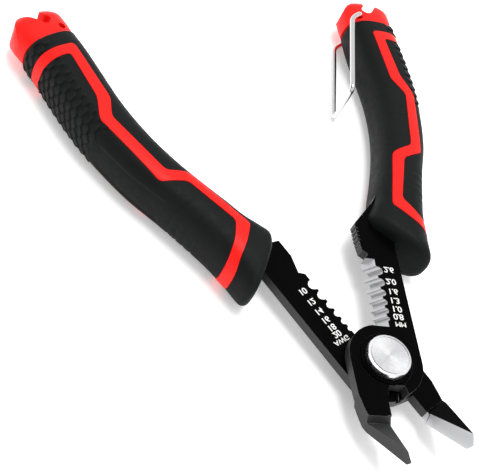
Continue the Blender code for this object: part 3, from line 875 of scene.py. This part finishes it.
@dataclass
class Pivot(Piece):
    """The pivot screw's turned head and shank, and the hidden hardware round it."""

    shop: Workshop
    frame: dict
    radius: float = 7.3
    top: float = 6.3
    seat: float = 4.05
    shank: float = 2.7
    end: float = -6.55
    groove_in: float = 1.1
    groove_width: float = 0.33
    groove_depth: float = 0.3
    groove_slope: float = 0.05
    dish: float = 0.02
    around: int = 96
    leg_share: float = 0.28

    def build(self) -> None:
        """Make the screw and the spring, and dress the sleeve, washers, nut and pegs."""
        inner = self.radius - self.groove_in
        outer = inner + self.groove_width
        floor = self.top - self.groove_depth
        profile = [(inner, self.top - self.dish), (inner + self.groove_slope, floor),
                   (outer - self.groove_slope, floor), (outer, self.top - self.dish),
                   (self.radius - 0.5, self.top), (self.radius - 0.2, self.top - 0.1),
                   (self.radius - 0.05, self.top - 0.35), (self.radius, self.top - 0.6),
                   (self.radius, self.seat), (self.shank, self.seat), (self.shank, self.end)]
        rings = np.array([[(r * math.cos(a), r * math.sin(a), z)
                           for a in np.linspace(0.0, math.tau, self.around, endpoint=False)]
                          for r, z in profile])
        rings = (rings + np.array(PIVOT)) * MM
        item = show("pivot_disc", loft("pivot_disc", rings))
        smooth(item.data, 40.0)
        self.finish(item, DISC_STEEL)
        self.attach(item, "front_handle", "pivot_steel", "pivot_screw")
        for node, finish in (("pivot_sleeve", PLAIN_STEEL), ("front_washer", BLACK_OXIDE),
                             ("rear_washer", BLACK_OXIDE), ("pivot_nut", BLACK_OXIDE),
                             ("front_spring_pin", SPRING_STEEL), ("rear_spring_pin", SPRING_STEEL)):
            self.finish(self.frame["nodes"][node], finish)
            LOG.info("%s keeps its packed shape", node)
        self.spring()

    def spring(self) -> None:
        """Make the opening spring from the packed spring's shape, rounded by one subdivision."""
        item = show("work", self.frame["nodes"]["torsion_spring"].data.copy())
        step = item.modifiers.new("round", "SUBSURF")
        step.levels = 1
        item = show("opening_spring", settled(item))
        item.data.shade_smooth()
        self.finish(item, SPRING_STEEL)
        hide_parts("torsion_spring")
        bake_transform(item)
        LOG.info("%s bends between the two handles", item.name)


# ------------------------------------------------------------------ grips

@dataclass(frozen=True)
class Envelope:
    """A grip's outer shape: stations of (s, centre n, half width, half height, tilt)."""

    stations: tuple[tuple[float, float, float, float, float], ...]
    power: float = 2.6
    around: int = 160

    def at(self, s: float) -> np.ndarray:
        """Return the smooth shape at a distance along the grip.

        Args:
            s: The distance from the pivot, in millimetres.

        Returns:
            The centre, half width, half height and tilt there.
        """
        table = np.array(self.stations)
        where = table[:, 0]
        values = table[:, 1:]
        i = int(np.clip(np.searchsorted(where, s) - 1, 0, len(where) - 2))
        slopes = np.gradient(values, where, axis=0)
        h = where[i + 1] - where[i]
        t = (s - where[i]) / h
        return ((1 + 2 * t) * (1 - t) ** 2 * values[i] + t * (1 - t) ** 2 * h * slopes[i]
                + t * t * (3 - 2 * t) * values[i + 1] + t * t * (t - 1) * h * slopes[i + 1])

    def ring(self, s: float, inset: float = 0.0) -> tuple[np.ndarray, np.ndarray]:
        """Return one section of the grip.

        Args:
            s: Where the section is.
            inset: How far inside the surface it lies.

        Returns:
            Its (n, s, z) points, and each point's distance round from the outermost one.
        """
        centre, half_width, half_height, tilt = self.at(s)
        a = np.linspace(0.0, math.tau, 721)
        out = (half_width - inset) * np.sign(np.cos(a)) * np.abs(np.cos(a)) ** (2 / self.power)
        up = (half_height - inset) * np.sign(np.sin(a)) * np.abs(np.sin(a)) ** (2 / self.power)
        length = np.concatenate([[0.0], np.cumsum(np.hypot(np.diff(out), np.diff(up)))])
        even = np.linspace(0.0, length[-1], self.around, endpoint=False)
        out, up = np.interp(even, length, out), np.interp(even, length, up)
        round_way = np.where(even > length[-1] / 2, even - length[-1], even)
        return np.stack([centre + out, s + tilt * out, up], axis=1), round_way


@dataclass
class Grip(Piece):
    """One grip: red core with its stripe, soft sleeve, palm panel and end cap."""

    shop: Workshop
    handle: Handle
    envelope: Envelope
    stripe_inner: tuple[Point2, ...]
    stripe_outer: tuple[Point2, ...]
    cap_stations: tuple[tuple[float, float, float, float, float], ...]
    inner_ear: tuple[Point2, ...]
    outer_ear: tuple[Point2, ...]
    seat: Point2 = (22.9, 155.0)
    seat_radius: float = 2.1
    seat_arc: Point2 = (120.0, 330.0)
    hinge: Point2 = (19.2, 150.8)
    nose: float = 3.2
    nose_end: float = 47.4
    tail: float = 0.8
    tail_start: float = 147.0
    step: float = 0.4
    seam: float = 0.17
    corner: float = 1.6
    proud: float = 0.14
    pad_pitch: float = 3.4
    pad_height: float = 0.6
    pad_sink: float = 0.16
    ribs: tuple[float, ...] = (63.5, 66.6, 69.7, 72.8)
    rib_depth: float = 0.22
    flank_depth: float = 0.3
    core_inset: float = 2.7
    hole_radius: float = 1.3
    cap_corner: float = 0.7
    outside: float = 60.0
    tall: float = 16.0

    def rows(self) -> list[tuple[float, float]]:
        """Lay out the sections along the grip, rounded at both ends.

        Returns:
            Each section's place and how far inside the surface it lies.
        """
        nose = [(self.nose_end - self.nose * math.cos(a), self.nose * (1 - math.sin(a)))
                for a in np.linspace(0.0, math.pi / 2, 9)]
        count = round((self.tail_start - self.nose_end) / self.step)
        body = [(float(s), 0.0) for s in np.linspace(self.nose_end, self.tail_start, count)[1:-1]]
        tail = [(self.tail_start + self.tail * math.sin(a), self.tail * (1 - math.cos(a)))
                for a in np.linspace(0.0, math.pi / 2, 5)]
        return nose + body + tail

    def pads(self, s: np.ndarray, w: np.ndarray) -> np.ndarray:
        """Return the height of the overlapping scales moulded into the grip.

        Args:
            s: Places along the grip.
            w: Distances round it from the outermost line.

        Returns:
            The height of the relief there, before it fades at its borders.
        """
        pitch = self.pad_pitch
        height = np.zeros_like(s)
        row = np.floor(w / (pitch * 0.86))
        for near in (-1, 0, 1):
            line = row + near
            centre_w = (line + 0.5) * pitch * 0.86
            offset = np.where(np.mod(line, 2) == 0, 0.0, pitch / 2)
            centre_s = (np.floor((s - offset) / pitch) + 0.5) * pitch + offset
            ds, dw = s - centre_s, w - centre_w
            r = np.hypot(ds * 0.94, dw) / (pitch * 0.55)
            rise = np.clip(0.52 - ds / pitch, 0.0, 1.0) ** 1.3 * (1 - smoothstep(0.88, 1.0, r))
            height = np.maximum(height, rise)
        return height * self.pad_height

    def relief(self, s: np.ndarray, w: np.ndarray) -> np.ndarray:
        """Return the moulded relief of the soft parts: scales, ribs and the flank's panel.

        Args:
            s: Places along the grip.
            w: Distances round it from the outermost line.

        Returns:
            The height of the relief there.
        """
        body = smoothstep(106.0, 110.0, s + np.abs(w) * 0.25) * (1 - smoothstep(10.5, 12.5, np.abs(w)))
        scales = self.pads(s, w) * body - self.pad_sink * body
        ribs = sum(-self.rib_depth * np.exp(-((s - at) / 0.45) ** 2) for at in self.ribs)
        ribs = ribs * (1 - smoothstep(9.0, 13.0, np.abs(w)))
        along = smoothstep(76.0, 78.0, s) * (1 - smoothstep(103.0, 106.0, s))
        edge = 5.2 - 0.035 * (s - 76.0)
        across = smoothstep(-edge - 0.25, -edge + 0.25, w) * (1 - smoothstep(edge - 0.4, edge + 0.4, w))
        return scales + ribs - self.flank_depth * along * across

    def shell(self, name: str, lift: float, textured: bool) -> bpy.types.Mesh:
        """Return the grip's whole outer shape as a solid.

        Args:
            name: The mesh's name.
            lift: How far it stands out from the envelope.
            textured: Whether it takes the moulded relief.

        Returns:
            The closed mesh.
        """
        points, around = [], []
        for s, inset in self.rows():
            ring, way = self.envelope.ring(s, inset)
            points.append(ring)
            around.append(way)
        grid, w = np.array(points), np.array(around)
        along = np.gradient(grid, axis=0)
        across = (np.roll(grid, -1, axis=1) - np.roll(grid, 1, axis=1)) / 2
        normal = np.cross(across, along)
        normal /= np.linalg.norm(normal, axis=2, keepdims=True) + 1e-12
        radial = grid - grid.mean(axis=1, keepdims=True)
        outward = np.sign(np.sum(normal * radial, axis=2, keepdims=True))
        rise = self.relief(grid[:, :, 1], w) if textured else np.zeros_like(w)
        held = np.ones_like(w)
        held[:3] = held[-2:] = 0.0
        grid = grid + normal * outward * ((rise * held + lift)[:, :, None])
        rings = self.handle.place(grid.reshape(-1, 3)).reshape(grid.shape)
        return loft(name, rings)

    def build(self) -> None:
        """Make the grip's four pieces."""
        name, place = self.handle.name, self.handle
        inner, outer = eased(self.stripe_inner, self.corner), eased(self.stripe_outer, self.corner)
        band = prism("band", place, [*inner, *reversed(outer)], -self.tall, self.tall)
        stripe = carve(self.shell("stripe", self.proud, False), band, "INTERSECT")
        stripe = carve(stripe, self.rod(), "UNION")
        self.piece(f"{name}_grip_core", stripe, RED_PLASTIC, "red_plastic", f"{name}_core")

        far = [(self.outside, 143.0), (self.outside, 33.0)]
        beyond = prism("beyond", place, [*shifted(inner, self.seam), *far], -self.tall, self.tall)
        sleeve = carve(self.shell("sleeve", 0.0, True), beyond, "DIFFERENCE")
        self.piece(f"{name}_grip_sleeve", sleeve, BLACK_RUBBER, "black_rubber", f"{name}_sleeve")

        far = [(self.outside, 138.6), (self.outside, 38.0)]
        region = prism("region", place, [*shifted(outer, -self.seam), *far], -self.tall, self.tall)
        panel = carve(self.shell("panel", 0.0, True), region, "INTERSECT")
        self.piece(f"{name}_grip_panel", panel, BLACK_RUBBER, "black_rubber", f"{name}_palm_panel")
        self.end_cap()

    def rod(self) -> bpy.types.Mesh:
        """Make the hidden core inside the soft parts.

        Returns:
            The closed mesh.
        """
        rings = [self.envelope.ring(s, self.core_inset)[0][::4] for s in np.arange(52.0, 146.0, 4.0)]
        grid = np.array(rings)
        return loft("rod", self.handle.place(grid.reshape(-1, 3)).reshape(grid.shape))

    def piece(self, name: str, mesh: bpy.types.Mesh, finish: Finish, slot: str, node: str) -> None:
        """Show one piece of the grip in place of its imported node.

        Args:
            name: The piece's name.
            mesh: Its shape.
            finish: Its finish.
            slot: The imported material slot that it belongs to.
            node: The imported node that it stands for.
        """
        smooth(mesh, 38.0)
        mesh.name = name
        item = show(name, mesh)
        self.finish(item, finish)
        self.attach(item, self.handle.body, slot, node)

    def end_cap(self) -> None:
        """Make the red end cap, with its two ears, the latch's seat and the hinge hole."""
        shape = Envelope(self.cap_stations, around=96)
        low, high = self.cap_stations[0][0], self.cap_stations[-1][0]
        grid = np.array([shape.ring(s)[0] for s in np.linspace(low, high, 26)])
        cap = loft("cap", self.handle.place(grid.reshape(-1, 3)).reshape(grid.shape))
        n, s = self.seat
        arc = [(n + self.seat_radius * math.cos(a), s + self.seat_radius * math.sin(a))
               for a in np.radians(np.linspace(*self.seat_arc, 19))]
        outline = rounded(self.inner_ear) + arc + rounded(self.outer_ear)
        cap = carve(cap, prism("ears", self.handle, outline, -self.tall, self.tall), "INTERSECT")
        n, s = self.hinge
        hole = [(n + self.hole_radius * math.cos(a), s + self.hole_radius * math.sin(a))
                for a in np.linspace(0.0, math.tau, 28, endpoint=False)]
        cap = carve(cap, prism("hole", self.handle, hole, -self.tall, self.tall), "DIFFERENCE")
        cap = softened(cap, self.cap_corner, 3, 40.0)
        name = self.handle.name
        self.piece(f"{name}_end_cap", cap, RED_PLASTIC, "red_plastic", f"{name}_cap")


# ------------------------------------------------------------------ latch

@dataclass
class Latch(Piece):
    """The bent wire that swings over the other handle's end cap."""

    shop: Workshop
    handle: Handle
    hinge: Point2 = (19.2, 150.8)
    knee: Point2 = (14.6, 147.0)
    bar: Point2 = (7.4, 109.1)
    spread: float = 8.5
    stub: float = 3.6
    radius: float = 0.95
    bend: float = 2.4

    def build(self) -> None:
        """Make the wire."""
        upper = [(*self.hinge, self.stub), (*self.hinge, self.spread), (*self.knee, self.spread),
                 (*self.bar, self.spread)]
        corners = [Vector(p) for p in upper] + [Vector((n, s, -z)) for n, s, z in reversed(upper)]
        path = [corners[0]]
        for before, corner, after in zip(corners, corners[1:], corners[2:]):
            first = corner + (before - corner).normalized() * self.bend
            last = corner + (after - corner).normalized() * self.bend
            for t in np.linspace(0.0, 1.0, 10):
                path.append(first * (1 - t) ** 2 + corner * 2 * t * (1 - t) + last * t ** 2)
        path.append(corners[-1])
        curve = bpy.data.curves.new("latch_wire", "CURVE")
        curve.dimensions, curve.bevel_depth, curve.bevel_resolution = "3D", self.radius * MM, 6
        curve.use_fill_caps = True
        spline = curve.splines.new("POLY")
        spline.points.add(len(path) - 1)
        for spot, place in zip(spline.points, self.handle.place(np.array([tuple(p) for p in path]))):
            spot.co = (*place, 1.0)
        mesh = settled(show("latch_wire", curve))
        smooth(mesh, 50.0)
        item = show("latch_wire", mesh)
        self.finish(item, CHROME)
        self.attach(item, "latch", "latch_chrome", "latch_bail")


# ------------------------------------------------------------------ studio

@dataclass
class Studio:
    """The pale floor, the soft lights and the camera."""

    shop: Workshop
    camera_from: Point3 = (-208.35, -111.88, 270.11)
    forward: Point3 = (0.49676, 0.45223, -0.74075)
    up: Point3 = (0.12353, 0.80798, 0.57612)
    lens: float = 86.9
    key_from: Point3 = (40.0, 60.0, 850.0)
    key_size: float = 0.4
    key_watts: float = 5.0
    world_strength: float = 0.95
    card_from: Point3 = (-0.62, 0.1, 0.75)
    floor_half: float = 3.0

    def build(self) -> None:
        """Make the floor, the lights and the camera."""
        scene = bpy.context.scene
        scene.view_settings.view_transform = "Standard"
        self.floor()
        self.light("key", self.key_from, self.key_size, self.key_watts)
        scene.world = self.room()
        self.camera()

    def room(self) -> bpy.types.World:
        """Make the white room, with one dark card that gives bright metal its contrast.

        Returns:
            The world.
        """
        world = bpy.data.worlds.new("studio")
        world.use_nodes = True
        graph = Graph(world.node_tree)
        shade = world.node_tree.nodes["Background"]
        way = graph.add("TexCoord").outputs["Generated"]
        toward = graph.add("VectorMath", {0: way, 1: tuple(Vector(self.card_from).normalized())},
                           operation="DOT_PRODUCT").outputs["Value"]
        graph.wire(graph.span(toward, 0.91, 0.95, self.world_strength, 0.05), shade.inputs["Strength"])
        shade.inputs["Color"].default_value = (1.0, 1.0, 1.0, 1.0)
        return world

    def floor(self) -> None:
        """Make the floor that the grips rest on."""
        half = self.floor_half
        corners = [(-half, -half, 0.0), (half, -half, 0.0), (half, half, 0.0), (-half, half, 0.0)]
        mesh = bpy.data.meshes.new("floor")
        mesh.from_pydata(corners, [], [(0, 1, 2, 3)])
        item = show("floor", mesh)
        item.data.materials.append(self.shop.material(FLOOR_PAPER))

    def light(self, name: str, place: Point3, size: float, watts: float) -> None:
        """Add a soft square light that faces the tool.

        Args:
            name: The light's name.
            place: Where it stands, in millimetres.
            size: Its side, in metres.
            watts: Its power.
        """
        data = bpy.data.lights.new(name, "AREA")
        data.shape, data.size, data.energy = "SQUARE", size, watts
        item = bpy.data.objects.new(name, data)
        bpy.context.scene.collection.objects.link(item)
        item.location = Vector(place) * MM
        item.rotation_euler = (-Vector(place)).to_track_quat("-Z", "Y").to_euler()

    def camera(self) -> None:
        """Set the camera by where it stands, where it looks and which way is up."""
        forward = Vector(self.forward).normalized()
        right = forward.cross(Vector(self.up)).normalized()
        up = right.cross(forward)
        matrix = Matrix((right, up, -forward)).transposed().to_4x4()
        matrix.translation = (Vector(self.camera_from) + PIVOT) * MM
        data = bpy.data.cameras.new("camera")
        data.sensor_width, data.lens, data.clip_start = 36.0, self.lens, 0.01
        item = bpy.data.objects.new("camera", data)
        bpy.context.scene.collection.objects.link(item)
        item.matrix_world = matrix
        bpy.context.scene.camera = item


GRIP_STATIONS = (
    (43.8, 14.4, 10.3, 9.5, -0.72), (47.2, 14.9, 10.5, 9.5, -0.70), (52.5, 15.8, 9.7, 9.5, -0.56),
    (59.0, 17.3, 8.8, 9.5, -0.38), (67.0, 19.2, 8.8, 9.5, -0.18), (76.0, 21.6, 8.8, 9.5, 0.0),
    (88.0, 24.9, 8.9, 9.5, 0.0), (101.0, 26.9, 8.9, 9.5, 0.0), (115.0, 27.4, 9.1, 9.5, 0.0),
    (128.0, 26.4, 9.4, 9.5, 0.0), (139.0, 25.3, 9.5, 9.4, 0.0), (147.8, 24.8, 9.8, 8.6, 0.0))
STRIPE_INNER = (
    (46.0, 33.0), (27.0, 44.6), (23.0, 48.8), (17.5, 52.6), (12.0, 57.4), (17.6, 81.5), (25.2, 85.2),
    (28.6, 110.0), (24.2, 116.8), (21.6, 141.2), (46.0, 142.8))
STRIPE_OUTER = (
    (46.0, 38.0), (28.0, 48.4), (24.5, 51.6), (20.5, 55.0), (16.0, 60.2), (21.0, 78.8), (29.0, 82.8),
    (32.4, 111.0), (28.2, 118.8), (25.6, 137.6), (46.0, 138.6))
CAP_STATIONS = (
    (148.1, 24.6, 9.9, 7.4, 0.0), (154.0, 24.4, 10.3, 7.3, 0.0), (158.4, 24.2, 9.9, 6.4, 0.0),
    (160.8, 24.1, 8.2, 4.6, 0.0))
INNER_EAR = ((13.4, 147.0), (13.4, 151.5), (14.2, 155.0), (16.0, 158.0), (18.8, 160.0), (21.4, 160.3),
             (22.4, 159.4))
OUTER_EAR = ((28.2, 159.4), (29.3, 160.2), (30.6, 160.0), (32.6, 158.2), (34.4, 153.6), (35.6, 147.0))
METRIC_MARKS = (("MM", 7.9, 13.3), ("0.8", 7.7, 16.1), ("1.0", 7.7, 19.0), ("1.3", 7.7, 22.2),
                ("1.6", 7.8, 25.6), ("2.0", 7.9, 29.4), ("2.6", 8.1, 34.0))
GAUGE_MARKS = (("AWG", 5.8, 13.1), ("20", 5.6, 15.6), ("18", 5.6, 18.2), ("16", 5.6, 21.2),
               ("14", 5.5, 24.7), ("12", 5.5, 28.5), ("10", 5.5, 32.8))


def main() -> None:
    """Dress the tool."""
    logging.basicConfig(level=logging.INFO, format="%(name)s: %(message)s")
    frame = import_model()
    shop = Workshop()
    Lever(shop, frame, FRONT, METRIC_MARKS).build()
    Lever(shop, frame, REAR, GAUGE_MARKS).build()
    Pivot(shop, frame).build()
    for handle in (FRONT, REAR):
        Grip(shop, handle, Envelope(GRIP_STATIONS), STRIPE_INNER, STRIPE_OUTER, CAP_STATIONS,
             INNER_EAR, OUTER_EAR).build()
    Latch(shop, FRONT).build()
    Studio(shop).build()


if __name__ == "__main__":
    main()
